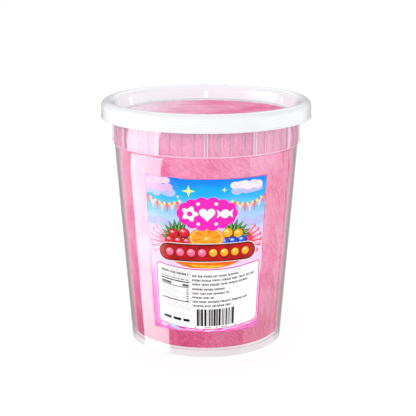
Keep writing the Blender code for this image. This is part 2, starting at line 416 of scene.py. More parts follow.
def tub_profile():
    floor = FOOT_RECESS + WALL
    collar_top_radius = COLLAR_RADIUS + COLLAR_DRAFT
    foot_inside = FOOT_RADIUS - FOOT_WALL
    taper = [(wall_radius(h), h) for h in (4, 20, 50, 80, 105, SHOULDER_HEIGHT - 0.5)]
    outside = [
        (0, FOOT_RECESS),
        (foot_inside - 1.4, FOOT_RECESS),
        *arc((foot_inside - 1.2, FOOT_RECESS - 1.2), 1.2, 80, 0, 4),
        (foot_inside, 0.2),
        (foot_inside + 0.2, 0),
        *arc((FOOT_RADIUS - EDGE, EDGE), EDGE, -90, 0, 5),
        *taper,
        *arc((SHOULDER_RADIUS + 0.4, SHOULDER_HEIGHT - 0.4), 0.4, 180, 100, 4),
        *arc((COLLAR_RADIUS - 0.5, COLLAR_FOOT_HEIGHT - 0.1), 0.5, -80, 0, 5),
        (COLLAR_RADIUS + 0.1, COLLAR_FOOT_HEIGHT + 5),
        (collar_top_radius, RIM_HEIGHT - WALL - EDGE),
        (collar_top_radius + EDGE, RIM_HEIGHT - WALL),
        (LIP_RADIUS - WALL, RIM_HEIGHT - WALL),
        (LIP_RADIUS - WALL, RIM_HEIGHT - LIP_DROP),
        (LIP_RADIUS, RIM_HEIGHT - LIP_DROP),
        *arc((LIP_RADIUS - EDGE, RIM_HEIGHT - EDGE), EDGE, 0, 90, 4),
    ]
    inside_taper = wall_radius(0) - WALL
    inside = [
        (collar_top_radius - WALL + EDGE, RIM_HEIGHT),
        (collar_top_radius - WALL, RIM_HEIGHT - EDGE),
        (COLLAR_RADIUS - WALL, COLLAR_FOOT_HEIGHT + 0.6),
        *arc((COLLAR_RADIUS - WALL - 0.5, COLLAR_FOOT_HEIGHT + 0.4), 0.5, 0, -60, 3),
        (SHOULDER_RADIUS - WALL, SHOULDER_HEIGHT - 0.2),
        *[(radius - WALL, height) for radius, height in reversed(taper[1:-1])],
        *arc((inside_taper + 0.4 - 1.5, floor + 1.5), 1.5, 0, -90, 6),
        (0, floor),
    ]
    return outside + inside


def make_tub(outer, inner, thick, collar, ledge_highlight):
    """The finishes: the tapered wall outside, the insides, the thick foot, the collar, and its foot line in a
    paler plastic, a painted highlight.
    """
    finishes = [outer, inner, thick, collar, ledge_highlight]
    mesh_data = turned_mesh("tub_shell", tub_profile(), ROUND_SIDES)
    place("tub_shell", mesh_data, finishes, 50, "tub")
    ledge_low, ledge_high = COLLAR_FOOT_HEIGHT - 0.7, COLLAR_FOOT_HEIGHT + 0.1
    for face in mesh_data.polygons:
        centre = face.center / MM
        outwards = centre.x * face.normal.x + centre.y * face.normal.y > 0
        steepest = 0.3 if SHOULDER_HEIGHT - 1 < centre.z < ledge_high else 0.7
        if centre.z < FOOT_RECESS + 0.6 and not abs(face.normal.z) > 0.9:
            face.material_index = finishes.index(thick)
        # The collar's foot line takes the paler plastic: a painted highlight.
        elif outwards and ledge_low < centre.z < ledge_high:
            face.material_index = finishes.index(ledge_highlight)
        elif not outwards or abs(face.normal.z) > steepest:
            face.material_index = finishes.index(inner)
        elif centre.z > ledge_high:
            face.material_index = finishes.index(collar)


def make_ribs(faces_plastic, edge_highlight_plastic):
    """Upright ribs inside the collar, every fourth one wide, each with rounded edges. The wide ones' two
    narrow back strips at their edges take a paler plastic, a painted highlight.
    """
    mesh = bmesh.new()
    root = COLLAR_RADIUS - WALL + 0.3
    tip = COLLAR_RADIUS - WALL - RIB_DEPTH
    low = COLLAR_FOOT_HEIGHT - 0.4
    for rib in range(round(360 / RIB_PITCH)):
        width = THIN_RIB if rib % RIBS_PER_WIDE else WIDE_RIB
        round_off = min(width / 2, 0.45)
        rounded = []
        for a in (0, 0.5, 1.05, 1.57):
            rounded.append((round_off * (1 - math.cos(a)), tip + round_off * (1 - math.sin(a))))
        section = [
            (-width / 2, root),
            *[(-width / 2 + inwards, depth) for inwards, depth in rounded],
            *[(width / 2 - inwards, depth) for inwards, depth in reversed(rounded)],
            (width / 2, root),
        ]
        if width == WIDE_RIB:
            section += [(width / 2 - 0.5, root), (0.5 - width / 2, root)]
        heights = (low, low + 0.8, (low + RIB_TOP) / 2, RIB_TOP)
        # The wide rib's two back strips take the paler plastic: a painted highlight.
        marked = (9, 11) if width == WIDE_RIB else ()
        loft(mesh, rib * RIB_PITCH, [(height, section) for height in heights], marked)
    bmesh.ops.remove_doubles(mesh, verts=mesh.verts, dist=1e-7)
    bmesh.ops.recalc_face_normals(mesh, faces=mesh.faces)
    place("tub_ribs", finished("tub_ribs", mesh), [faces_plastic, edge_highlight_plastic], 30)


# -------- lid


def lid_profile():
    under = PANEL_HEIGHT - LID_WALL
    outer_round = LID_RADIUS - CREST_RADIUS
    shoulder = (CREST_RADIUS, LID_HEIGHT - outer_round)
    inner_round = CREST_RADIUS - RECESS_TOP_RADIUS
    hollow_of_crest = (CREST_RADIUS, LID_HEIGHT - inner_round)
    below = [
        (0, under),
        (PANEL_RADIUS + 0.2, under),
        (PANEL_RADIUS + 0.9, under + 0.5),
        (PANEL_RADIUS + 1.2, under + 1.4),
        (RECESS_TOP_RADIUS + LID_WALL, RECESS_TOP_HEIGHT - 0.2),
        *arc(hollow_of_crest, inner_round - LID_WALL, 165, 90, 8),
        *arc(shoulder, outer_round - LID_WALL, 80, 0, 8),
        (LID_RADIUS - LID_WALL, LID_SKIRT_FOOT + 1.9),
        (LID_RADIUS - LID_WALL - 0.4, LID_SKIRT_FOOT + 1.4),
        (LID_RADIUS - LID_WALL - 0.4, LID_SKIRT_FOOT + 0.8),
        (LID_RADIUS - LID_WALL, LID_SKIRT_FOOT),
    ]
    bead = (LID_RADIUS + LID_BEAD - 0.45, LID_SKIRT_FOOT + 0.45)
    above = [
        *arc(bead, 0.45, -90, 60, 7),
        (LID_RADIUS, LID_SKIRT_FOOT + 1.3),
        (LID_RADIUS - 0.05, LID_SKIRT_FOOT + 3.4),
        *arc(shoulder, outer_round, 0, 90, 12),
        *arc(hollow_of_crest, inner_round, 98, 165, 8),
        (PANEL_RADIUS + 0.8, PANEL_HEIGHT + 1.0),
        (PANEL_RADIUS + 0.4, PANEL_HEIGHT + 0.4),
        (PANEL_RADIUS, PANEL_HEIGHT + 0.1),
        (PANEL_RADIUS - 0.8, PANEL_HEIGHT),
        (0, PANEL_HEIGHT),
    ]
    return below + above


def make_lid(material):
    mesh_data = turned_mesh("lid_shell", lid_profile(), ROUND_SIDES)
    place("lid_shell", mesh_data, [material], 50, "lid")


def make_lugs(material):
    """Small upright lugs on the wall of the lid's recess."""
    mesh = bmesh.new()
    half = LUG_WIDTH / 2
    for lug in range(LUGS):
        sections = []
        for height, lean, inset in ((0.3, 0.0, 0.35), (0.6, 0.1, 0), (4.2, 1.1, 0), (4.5, 1.2, 0.35)):
            front = PANEL_RADIUS + 0.8 - LUG_DEPTH + lean + inset
            back = PANEL_RADIUS + 1.1 + lean
            corners = ((-half, back), (-half + 0.2, front), (half - 0.2, front), (half, back))
            sections.append((PANEL_HEIGHT + height, corners))
        loft(mesh, lug * 360 / LUGS, sections)
    bmesh.ops.recalc_face_normals(mesh, faces=mesh.faces)
    place("lid_lugs", finished("lid_lugs", mesh), [material], 30)


# -------- candy


def candy_radius(height):
    """Outer radius of the candy at a height: the tub's inside, then straight up inside the collar."""
    radius = wall_radius(height) - WALL + INTO_WALL
    if height > SHOULDER_HEIGHT - 2:
        radius = min(radius, CANDY_COLLAR_RADIUS)
    for corner, depth in (
        (CANDY_FOOT_ROUND, CANDY_FOOT + CANDY_FOOT_ROUND - height),
        (CANDY_TOP_ROUND, height - CANDY_TOP + CANDY_TOP_ROUND),
    ):
        if depth > 0:
            radius -= corner - math.sqrt(max(corner**2 - depth**2, 0))
    return radius


def flow(point):
    """A slow swirl that the fibres follow, as an angle in radians from upright."""
    return 0.55 + 0.9 * noise.noise(point / 34)


def make_candy(material):
    """Dense skin with soft pads and combed streaks pressed against the plastic."""
    columns, side_steps, top_rings = 640, 106, 26
    foot_rows = [CANDY_FOOT + CANDY_FOOT_ROUND * (1 - math.cos(math.pi / 2 * i / 4)) for i in range(5)]
    side_foot, side_top = foot_rows[-1], CANDY_TOP - CANDY_TOP_ROUND
    side_rows = [side_foot + (side_top - side_foot) * i / side_steps for i in range(1, side_steps + 1)]
    top_rows = [side_top + CANDY_TOP_ROUND * math.sin(math.pi / 2 * i / 5) for i in range(1, 6)]
    outline = [(candy_radius(z), z) for z in foot_rows + side_rows + top_rows]
    edge = outline[-1][0]
    outline += [(edge * (1 - i / top_rings) ** 0.9, CANDY_TOP) for i in range(1, top_rings)]
    points = []
    for radius, height in outline:
        for column in range(columns):
            angle = math.tau * column / columns
            point = Vector((radius * math.cos(angle), radius * math.sin(angle), height))
            slant = flow(point)
            across = angle * radius * math.cos(slant) + height * math.sin(slant)
            along = height * math.cos(slant) - angle * radius * math.sin(slant)
            ends = math.sin(angle / 2) ** 0.5 if height < CANDY_TOP - 0.01 else 1.0
            streak = noise.noise(Vector((across / 1.5, along / 14, radius / 9))) * ends
            pad = noise.noise(point / 9) + 0.5 * noise.noise(point / 4)
            depth = min(0.0, 0.16 * pad + 0.12 * streak - 0.06)
            if height < CANDY_TOP - 0.01:
                out = (radius + depth) / radius
                point.x *= out
                point.y *= out
            else:
                point.z += depth * 2
            points.append(point * MM)
    mesh_data = bpy.data.meshes.new("candy_floss")
    faces = []
    rows = len(outline)
    side_faces = columns * (len(foot_rows) + len(side_rows) + len(top_rows) - 1)
    for row in range(rows - 1):
        for column in range(columns):
            after = (column + 1) % columns
            low, high = row * columns, (row + 1) * columns
            faces.append((low + column, low + after, high + after, high + column))
    foot_centre = len(points)
    points.append(Vector((0, 0, CANDY_FOOT * MM)))
    points.append(Vector((0, 0, CANDY_TOP * MM)))
    last = (rows - 1) * columns
    for column in range(columns):
        after = (column + 1) % columns
        faces.append((foot_centre, after, column))
        faces.append((foot_centre + 1, last + column, last + after))
    mesh_data.from_pydata(points, [], faces)
    combing = mesh_data.uv_layers.new(name="combing")
    for face in mesh_data.polygons:
        on_side = face.index < side_faces
        for loop in face.loop_indices:
            x, y, z = mesh_data.vertices[mesh_data.loops[loop].vertex_index].co
            around = math.atan2(x, -y)
            if face.center.y > 0 and face.center.x < 0 and around > 0:
                around -= math.tau
            combing.data[loop].uv = (around * 0.5, z * 10) if on_side else (x * 10, y * 20)
    place("candy_floss", mesh_data, [material], 80, "candy")


def make_fibres(name, material, count, seed, thickness, top=False):
    """Fine strands that lie on the candy, slanting with its swirl."""
    chance = random.Random(seed)
    verts = []
    faces = []
    steps = 9
    for _ in range(count):
        angle = chance.uniform(0, math.tau)
        height = chance.uniform(FOOT_RECESS + WALL + 2.5, CANDY_TOP - 3)
        spread = math.sqrt(chance.uniform(0.0004, 0.92)) * (CANDY_COLLAR_RADIUS - 3)
        length = chance.uniform(5, 17)
        bend = chance.uniform(-0.05, 0.05)
        turn = chance.gauss(0, 0.16)
        lift = chance.uniform(-0.04, 0.1)
        girth = thickness * chance.uniform(0.6, 1.25)
        heading = chance.uniform(0, math.tau)
        x, y = spread * math.cos(angle), spread * math.sin(angle)
        start = len(verts)
        for step in range(steps):
            share = step / (steps - 1)
            stride = length / (steps - 1)
            if top:
                centre = Vector((x, y, CANDY_TOP - 0.02 + lift * 0.5))
                heading += bend
                side = Vector((-math.sin(heading), math.cos(heading), 0))
                normal = Vector((0, 0, 1))
                x += stride * math.cos(heading)
                y += stride * math.sin(heading)
                if math.hypot(x, y) > CANDY_COLLAR_RADIUS - 2.4:
                    heading += 0.5
            else:
                radius = candy_radius(height) + lift
                outward = Vector((math.cos(angle), math.sin(angle), 0))
                centre = outward * radius + Vector((0, 0, height))
                slant = flow(centre) + turn + bend * step
                side = Vector((-outward.y, outward.x, 0)) * math.cos(slant) + Vector((0, 0, math.sin(slant)))
                normal = outward
                height += stride * math.cos(slant)
                angle -= stride * math.sin(slant) / radius
                height = min(max(height, FOOT_RECESS + WALL + 1.5), CANDY_TOP - 1.6)
            size = girth * math.sin(math.pi * (0.08 + 0.84 * share)) ** 0.4
            for corner in range(3):
                a = math.tau * corner / 3
                verts.append((centre + side * (size * math.cos(a)) + normal * (size * math.sin(a))) * MM)
        for step in range(steps - 1):
            for corner in range(3):
                after = (corner + 1) % 3
                one = start + step * 3
                faces.append((one + corner, one + after, one + 3 + after, one + 3 + corner))
        faces.append((start + 2, start + 1, start))
        end = start + (steps - 1) * 3
        faces.append((end, end + 1, end + 2))
    mesh_data = bpy.data.meshes.new(name)
    mesh_data.from_pydata(verts, [], faces)
    place(name, mesh_data, [material], 80)


# -------- label drawing


class Drawing:
    """Flat shapes in label millimetres. A later shape covers an earlier one."""

    def __init__(self):
        self.shapes = []

    def fill(self, ink, points):
        self.shapes.append((ink, points))

    def disc(self, ink, x, y, radius, tall=1.0, sides=20):
        self.fill(ink, moved(oval(radius, radius * tall, sides), x, y))

    def capsule(self, ink, start, end, radius, end_radius=None):
        """A bar with round ends."""
        lean = math.degrees(math.atan2(end[1] - start[1], end[0] - start[0]))
        first = arc(start, radius, lean + 90, lean + 270, 7)
        self.fill(ink, first + arc(end, end_radius or radius, lean - 90, lean + 90, 7))

    def leaf(self, ink, start, end, width, bow, steps=8):
        """A pointed leaf from start to end, bent sideways by bow."""
        along = Vector((end[0] - start[0], end[1] - start[1]))
        side = Vector((-along.y, along.x)).normalized()
        one, other = [], []
        for i in range(steps + 1):
            t = i / steps
            middle = Vector(start) + along * t + side * (bow * math.sin(math.pi * t))
            half = width / 2 * math.sin(math.pi * t) ** 0.8 * (1.25 - 0.5 * t)
            one.append(tuple(middle + side * half))
            other.append(tuple(middle - side * half))
        self.fill(ink, one[:-1] + [other[-1]] + other[-2:0:-1])

    def bar(self, ink, left, low, right, high, corner=0.0, detail=2.0):
        """A block that hangs with the lower print."""
        self.fill(ink, sagged(block(left, low, right, high, corner), detail))


def oval(wide, tall, sides=20):
    angles = [math.tau * i / sides for i in range(sides)]
    return [(wide * math.cos(a), tall * math.sin(a)) for a in angles]


def moved(points, x, y, turn=0.0):
    c, s = math.cos(math.radians(turn)), math.sin(math.radians(turn))
    return [(x + px * c - py * s, y + px * s + py * c) for px, py in points]


def sparkle(size):
    """A star with four points."""
    result = []
    for i in range(8):
        radius = size * 0.3 if i % 2 else size
        a = math.radians(90 + 45 * i)
        result.append((radius * math.cos(a), radius * math.sin(a)))
    return result


def heart(size):
    result = []
    for i in range(24):
        t = math.tau * (i + 0.5) / 24
        x = 16 * math.sin(t) ** 3
        y = 13 * math.cos(t) - 5 * math.cos(2 * t) - 2 * math.cos(3 * t) - math.cos(4 * t)
        result.append((-x * size / 17, y * size / 17))
    return result


def sweet(size):
    """A wrapped sweet: a round middle with two flared ends."""
    right = [(size * 1.1, size * 0.62), (size * 0.95, 0), (size * 1.1, -size * 0.62)]
    left = [(-x, -y) for x, y in right]
    top = arc((0, 0), size * 0.62, 160, 20, 8)
    bottom = arc((0, 0), size * 0.62, -20, -160, 8)
    return top + right + bottom + left


def block(left, low, right, high, corner=0.0):
    """A box, with round corners where corner is given."""
    if corner == 0:
        return [(left, low), (right, low), (right, high), (left, high)]
    return (
        arc((right - corner, low + corner), corner, -90, 0, 4)
        + arc((right - corner, high - corner), corner, 0, 90, 4)
        + arc((left + corner, high - corner), corner, 90, 180, 4)
        + arc((left + corner, low + corner), corner, 180, 270, 4)
    )


def sagged(points, detail=2.0):
    """Bends straight drawing down in the middle, with extra points along long edges."""
    result = []
    for (x0, y0), (x1, y1) in zip(points, points[1:] + points[:1]):
        pieces = max(1, math.ceil(abs(x1 - x0) / detail))
        for i in range(pieces):
            x = x0 + (x1 - x0) * i / pieces
            y = y0 + (y1 - y0) * i / pieces
            result.append((x, y - SAG * (1 - (x / SAG_REACH) ** 2)))
    return result


# -------- label art


def draw_sky(art):
    """A plain sky with rows of round clouds."""
    chance = random.Random(3)
    art.fill("sky", block(-LABEL_HALF_WIDTH, LABEL_FOOT, LABEL_HALF_WIDTH, LABEL_TOP))
    banks = (
        ("cloud_lilac", -25, 94.6),
        ("cloud_pink", -26, 97.4),
        ("cloud_blush", -27, 100.6),
        ("cloud_lilac", 22, 96.4),
        ("cloud_white", 21, 98.4),
        ("cloud_lilac", -27, 78),
        ("cloud_lilac", 27, 78),
        ("cloud_blush", -27, 66),
        ("cloud_blush", 27, 66),
    )
    for ink, x, y in banks:
        for puff in range(6):
            radius = chance.uniform(1.8, 3.2)
            art.disc(ink, x + (puff - 2.5) * 2.5, y + chance.uniform(-0.7, 0.7), radius, 0.74)


def draw_bunting(art):
    """A hanging string of coral and cream flags with bulbs between them, on each side."""
    flags = 7
    for side in (-1, 1):
        knots = []
        for knot in range(flags + 1):
            share = knot / flags
            x = side * (LABEL_HALF_WIDTH - 19.6 * share)
            knots.append((x, 92.5 - 12 * share * (1 - share) - 2.5 * share))
        for index, (start, end) in enumerate(zip(knots, knots[1:])):
            tip = ((start[0] + end[0]) / 2, (start[1] + end[1]) / 2 - 5.4)
            art.fill("cream" if index % 2 else "coral", [start, tip, end])
            art.capsule("rust", start, end, 0.25)
        for knot in knots[1:]:
            art.disc("glow", *knot, 0.95, sides=12)
            art.disc("bulb", *knot, 0.55, sides=10)


def draw_juice(art):
    """A fan of splashes on each side, pale on the left and red on the right."""
    root, y = 19, 67
    for side, ink, shine in ((-1, "juice_light", "cloud_white"), (1, "juice", "juice_shine")):
        for splash in range(6):
            angle = math.radians(-34 + 17 * splash)
            across, up = side * math.cos(angle), math.sin(angle)
            x = side * root
            start, end = (x, y), (x + 12 * across, y + 10.5 * up)
            art.capsule(ink, start, end, 1.4, 0.6)
            art.disc(ink, *end, 1.05, sides=12)
            art.capsule(shine, (x + 7 * across, y + 0.4 + 6.2 * up), (end[0], end[1] + 0.3), 0.28, 0.36)


def shaded_ball(art, x, y, radius, inks):
    """A round fruit: shadow, body, soft light and a glint."""
    art.disc(inks[0], x, y, radius, 0.96, 22)
    art.disc(inks[1], x - radius * 0.06, y + radius * 0.1, radius * 0.84, 0.96, 22)
    art.disc(inks[2], x - radius * 0.22, y + radius * 0.36, radius * 0.42, 0.6, 14)
    art.disc("white", x - radius * 0.28, y + radius * 0.46, radius * 0.15, 0.7, 8)


def draw_fruit(art):
    """A row of plain round fruit with an orange slice in its middle and leaves behind it."""
    for side in (-1, 1):
        for blade in range(7):
            angle = math.radians(8 + 17 * blade)
            start = (side * 14, 69)
            end = (start[0] + side * 11.5 * math.cos(angle), start[1] + 11.5 * math.sin(angle))
            art.leaf("leaf_dark", start, end, 2.6, 0.6)
            art.leaf("leaf" if blade % 2 else "leaf_mid", start, end, 1.7, 0.6)
            art.leaf("leaf_light", start, end, 0.4, 0.6)
    red = ("cherry_dark", "cherry", "cherry_light")
    golden = ("pine_dark", "pine", "pine_light")
    blue = ("navy", "blue", "blue_light")
    for side, back, front in ((-1, red, red), (1, golden, blue)):
        for x, y in ((17.4, 71.6), (11.6, 72.4)):
            shaded_ball(art, side * x, y, 3.1, back)
        for x, y in ((19.6, 67.6), (14.6, 67.4), (9.8, 67.2)):
            shaded_ball(art, side * x, y, 3.0, front)
    x, y, flat = 0.3, 69.7, 0.66  # the slice's middle, and how flat it looks
    for ink, radius in (("orange_rind", 9.5), ("pith", 8.7), ("orange", 8.1)):
        art.disc(ink, x, y, radius, flat, 40)
    for wedge in range(12):
        corners = arc((0, 0), 7.7, 30 * wedge + 3, 30 * wedge + 27, 4)
        middle = math.radians(30 * wedge + 15)
        corners = [(math.cos(middle), flat * math.sin(middle))] + [(a, flat * b) for a, b in corners]
        art.fill("orange_light" if wedge % 2 else "orange_flesh", moved(corners, x, y))
    art.disc("pith", x, y, 1.2, 0.62, 12)


def flower(size):
    """A flower with five petals."""
    result = []
    for i in range(40):
        a, r = math.tau * i / 40, size * (0.84 + 0.2 * math.cos(math.tau * i / 8))
        result.append((r * math.cos(a), r * math.sin(a)))
    return result


def draw_burst(art):
    """A magenta cloud with a scalloped edge, a white flower, heart and sweet on it, and sparkles above."""
    x, y = 0.6, 83.4  # the cloud's middle
    for puff in range(14):
        a = math.tau * puff / 14
        art.disc("magenta", x + 12.6 * math.cos(a), y + 6.2 * math.sin(a), 3.4)
    art.disc("magenta", x, y, 13.6, 0.6, 36)
    art.fill("white", moved(flower(4.3), x - 9.0, y))
    art.disc("magenta", x - 9.0, y, 1.5)
    art.fill("white", moved(heart(4.4), x, y))
    art.fill("white", moved(sweet(3.9), x + 9.2, y))
    for side in (-1, 1):
        for rise in (-1, 1):
            art.disc("white", x + 4.6 * side, y + 5.6 * rise, 0.9, 1.0, 12)
    for x, y, size in ((-8.8, 96.0, 3.4), (9.2, 96.6, 1.5), (-14.4, 92.6, 1.1)):
        art.fill("yellow", moved(sparkle(size), x, y))
    art.disc("lemon", -8.8, 96.0, 0.8, 1.0, 10)


def draw_ribbon(art):
    """A plain dark red band with a row of round sweets, pink on its left and golden on its right."""
    art.leaf("swash_red", (-19.5, 56.6), (22.5, 57.4), 6.0, -1.6, 16)
    art.leaf("swash", (-18.5, 56.2), (17.5, 55.4), 4.2, -1.8, 16)
    art.leaf("swash_gold", (-10, 54.6), (12, 54.2), 1.6, -0.8, 14)
    for ink, grow in (("ribbon_white", 0.95), ("ribbon_black", 0.6), ("ribbon_dark", 0.3), ("ribbon", -0.15)):
        art.capsule(ink, (-21.4, 61.2), (23.0, 61.6), 4.4 + grow)
    pink = ("pink_edge", "pink_bar", "pink_shine")
    gold = ("gold_edge", "gold", "gold_shine")
    for bead in range(8):
        x = -20.0 + bead * 5.95
        y = 61.2 + 0.4 * bead / 7
        edge, fill, shine = pink if bead < 4 else gold
        art.disc("ribbon_black", x, y - 0.15, 2.6)
        art.disc(edge, x, y, 2.45)
        art.disc(fill, x, y + 0.1, 2.05)
        art.disc(shine, x - 0.6, y + 0.9, 0.65, 0.7, 10)


def words(art, ink, left, right, y, height, chance, gap):
    """A line of plain dashes, in groups, where small print would be."""
    x = left
    while x < right - 0.6:
        end = min(x + chance.uniform(1.8, 6.2), right)
        while x < end:
            width = chance.uniform(0.4, 0.75)
            low = chance.uniform(0, height * 0.22)
            art.bar(ink, x, y + low, x + width, y + height, detail=9)
            x += width + 0.24
        x += gap


def draw_panel(art):
    """The white lower panel with a table of dashes, lines of dashes and a bar code."""
    chance = random.Random(5)
    half = LABEL_HALF_WIDTH
    art.fill("lower_pink", block(-half, LABEL_FOOT, half, 58))
    draw_ribbon(art)
    art.fill("magenta", block(32.1, LABEL_FOOT, half, 46))
    for ink, grow in (("white", 1.1), ("border", 0.72), ("white", 0.0)):
        art.bar(ink, -28.3 - grow, 20.5 - grow, 31.0 + grow, 54.7 + grow, 2.0 + grow)
    # table of dashes
    left, right, top, low = -26.5, -8.9, 53.1, 31.2
    art.bar("grey", left, low, left + 0.2, top)
    art.bar("grey", right - 0.2, low, right, top)
    art.bar("grey", left, low, right, low + 0.2)
    art.bar("grey", left, top - 0.2, right, top)
    words(art, "black", left + 0.8, right - 0.7, top - 2.3, 1.5, chance, 0.4)
    words(art, "grey", left + 0.8, right - 5, top - 3.6, 0.5, chance, 0.5)
    words(art, "text", left + 0.8, right - 0.8, top - 5.2, 0.9, chance, 0.4)
    art.bar("black", left + 0.6, top - 6.4, right - 0.5, top - 5.7)
    for start, end in ((left + 0.8, left + 6.6), (right - 4.4, right - 0.8)):
        art.bar("text", start, top - 8.6, end, top - 7.2)
    art.bar("black", left + 0.6, top - 9.4, right - 0.5, top - 8.95)
    for row in range(6):
        y = top - 10.8 - row * 1.25
        words(art, "grey", left + 0.8 + (row % 3) * 0.5, left + 8 + (row * 5 % 7) * 0.6, y, 0.45, chance, 0.4)
        art.bar("text", right - 2.2, y, right - 1.0, y + 0.7)
    art.bar("black", left + 0.6, low + 4.2, right - 0.5, low + 4.75)
    for row in range(3):
        words(art, "grey_pale", left + 0.8, right - 1.2, low + 2.8 - row * 0.95, 0.45, chance, 0.3)
    for start, end in ((-25.4, -20.6), (-19.4, -14.6), (-13.4, -9.6)):
        art.bar("black", start, 23.9, end, 25.5, 0.4)
    # lines of dashes
    ends = (18.4, 27.7, 23.8, 10.8, 13.2, 3.8, 24.3, 14.0)
    for y, end in zip((50.5, 48.1, 45.7, 42.9, 40.4, 38.0, 35.6, 33.2), ends):
        words(art, "print", -7.7, end, y, 1.3, chance, 0.55)
    # bar code
    x = -5.4
    while x < 15.2:
        width = chance.choice((0.35, 0.55, 0.9, 1.3))
        art.bar("black", x, 22.1, x + width, 32.0, detail=9)
        x += width + chance.choice((0.28, 0.4, 0.4, 0.65))
    for x in (-6.6, -0.4, 0.8, 2.0, 5.8, 9.0, 10.2, 11.4, 17.0):
        art.bar("text", x, 20.9, x + 0.7, 21.6)


def draw_foot(art):
    """Glossy pink icing along the label's foot, and its coloured edges."""
    half = LABEL_HALF_WIDTH
    chance = random.Random(11)
    below = LABEL_FOOT - 4
    icing = [(-28, 18.3), (30, 18.3), (half, 21.6), (half, below), (-half, below), (-half, 21.6)]
    art.fill("icing", sagged(icing))
    for _ in range(26):
        x = chance.uniform(-26, 26)
        y = LABEL_FOOT + 0.5 + 1.6 * (x / 26) ** 2 + chance.uniform(0, 0.9)
        ink = chance.choice(("icing_pale", "icing_deep", "icing_shine"))
        spot = oval(chance.uniform(1.2, 2.8), chance.uniform(0.2, 0.4), 12)
        art.fill(ink, moved(spot, x, y, x * 0.35))
    art.leaf("ice_blue", (-23.0, 18.4), (-14.6, 15.8), 1.7, 0.2)
    art.leaf("ice_white", (-21.6, 18.2), (-16, 16.4), 0.6, 0.4)
    art.fill("rim_coral", block(-half * 0.42, LABEL_TOP - 0.4, half, LABEL_TOP))
    art.fill("rim_coral", block(half - 0.35, 58, half, LABEL_TOP))


# A plain ink has one screen colour, or two that it wanders between.
PLAIN_INKS = {
    "cloud_lilac": [(200, 196, 242), (176, 190, 246)],
    "cloud_pink": [(246, 190, 222), (214, 184, 238)],
    "cloud_blush": [(255, 214, 234), (250, 190, 222)],
    "cloud_white": [(255, 240, 250), (240, 226, 250)],
    "coral": [(236, 112, 134), (244, 138, 146)],
    "cream": [(255, 218, 214), (250, 190, 196)],
    "rust": [(168, 74, 96), (190, 92, 110)],
    "glow": [(255, 178, 96), (255, 196, 120)],
    "bulb": [(255, 248, 176)],
    "juice": [(250, 22, 84), (255, 70, 120)],
    "juice_shine": [(255, 190, 206)],
    "juice_light": [(250, 120, 160), (255, 160, 190)],
    "leaf": [(40, 128, 40), (88, 160, 56)],
    "leaf_mid": [(24, 100, 40), (60, 136, 50)],
    "leaf_dark": [(8, 62, 28), (16, 80, 34)],
    "leaf_light": [(166, 210, 96), (130, 186, 80)],
    "pine": [(246, 168, 22), (255, 190, 40)],
    "pine_light": [(255, 224, 100)],
    "pine_dark": [(120, 62, 8), (150, 84, 16)],
    "cherry": [(206, 12, 36), (236, 40, 56)],
    "cherry_dark": [(96, 0, 12), (120, 4, 20)],
    "cherry_light": [(255, 126, 140)],
    "orange_rind": [(250, 122, 0), (255, 140, 10)],
    "pith": [(255, 226, 160), (255, 206, 120)],
    "orange": [(255, 176, 50)],
    "orange_flesh": [(255, 124, 4), (255, 146, 14)],
    "orange_light": [(255, 150, 20), (255, 168, 40)],
    "navy": [(8, 14, 84), (12, 24, 110)],
    "blue": [(20, 70, 210), (40, 100, 236)],
    "blue_light": [(140, 184, 255)],
    "magenta": [(255, 34, 190), (252, 26, 182)],
    "white": [(255, 254, 255)],
    "yellow": [(255, 240, 0), (250, 252, 40)],
    "lemon": [(255, 255, 190)],
    "swash_red": [(244, 44, 16), (250, 90, 20)],
    "swash": [(255, 130, 8), (246, 96, 10)],
    "swash_gold": [(255, 214, 60), (255, 176, 30)],
    "ribbon_white": [(255, 246, 240)],
    "ribbon_black": [(34, 2, 6)],
    "ribbon_dark": [(120, 0, 8), (90, 0, 4)],
    "ribbon": [(206, 4, 16), (150, 0, 8)],
    "pink_edge": [(226, 30, 74)],
    "pink_shine": [(255, 232, 236)],
    "gold_edge": [(220, 70, 6)],
    "gold_shine": [(255, 250, 170)],
    "border": [(246, 56, 176), (238, 48, 168)],
    "black": [(20, 16, 18)],
    "text": [(96, 90, 94)],
    "print": [(58, 54, 58)],
    "grey": [(164, 158, 164)],
    "grey_pale": [(190, 186, 190)],
    "icing": [(250, 112, 200), (252, 146, 212)],
    "icing_pale": [(255, 176, 232)],
    "icing_deep": [(255, 40, 170)],
    "icing_shine": [(255, 216, 244)],
    "ice_blue": [(150, 204, 246)],
    "ice_white": [(200, 250, 255)],
    "rim_coral": [(250, 70, 110), (240, 90, 130)],
}

# A faded ink has stops of (share of the way up, screen colour), and how far soft waves move them.
FADED_INKS = (
    (
        "sky",
        [
            (0.46, (248, 206, 236)),
            (0.62, (226, 206, 244)),
            (0.74, (176, 206, 250)),
            (0.82, (96, 200, 255)),
            (0.9, (10, 172, 255)),
            (0.99, (0, 132, 250)),
        ],
        0.1,
    ),
    (
        "lower_pink",
        [(0.0, (248, 110, 200)), (0.2, (246, 126, 204)), (0.36, (246, 158, 218)), (0.43, (246, 206, 238))],
        0.04,
    ),
    ("pink_bar", [(0.48, (232, 54, 100)), (0.53, (250, 124, 156)), (0.57, (255, 190, 206))], 0.0),
    ("gold", [(0.48, (255, 140, 16)), (0.53, (255, 186, 36)), (0.57, (255, 232, 110))], 0.0),
)


def label_inks():
    """Every ink of the print, by name."""
    inks = {name: plain_ink("ink_" + name, *colours) for name, colours in PLAIN_INKS.items()}
    for name, stops, streak in FADED_INKS:
        inks[name] = faded_ink("ink_" + name, stops, streak)
    return inks


def on_tub(u, v, stand_off):
    """A drawn point on the tub's tapered wall, in metres."""
    angle = u / LABEL_REFERENCE_RADIUS
    radius = wall_radius(v) + stand_off
    return Vector((radius * math.sin(angle), -radius * math.cos(angle), v)) * MM


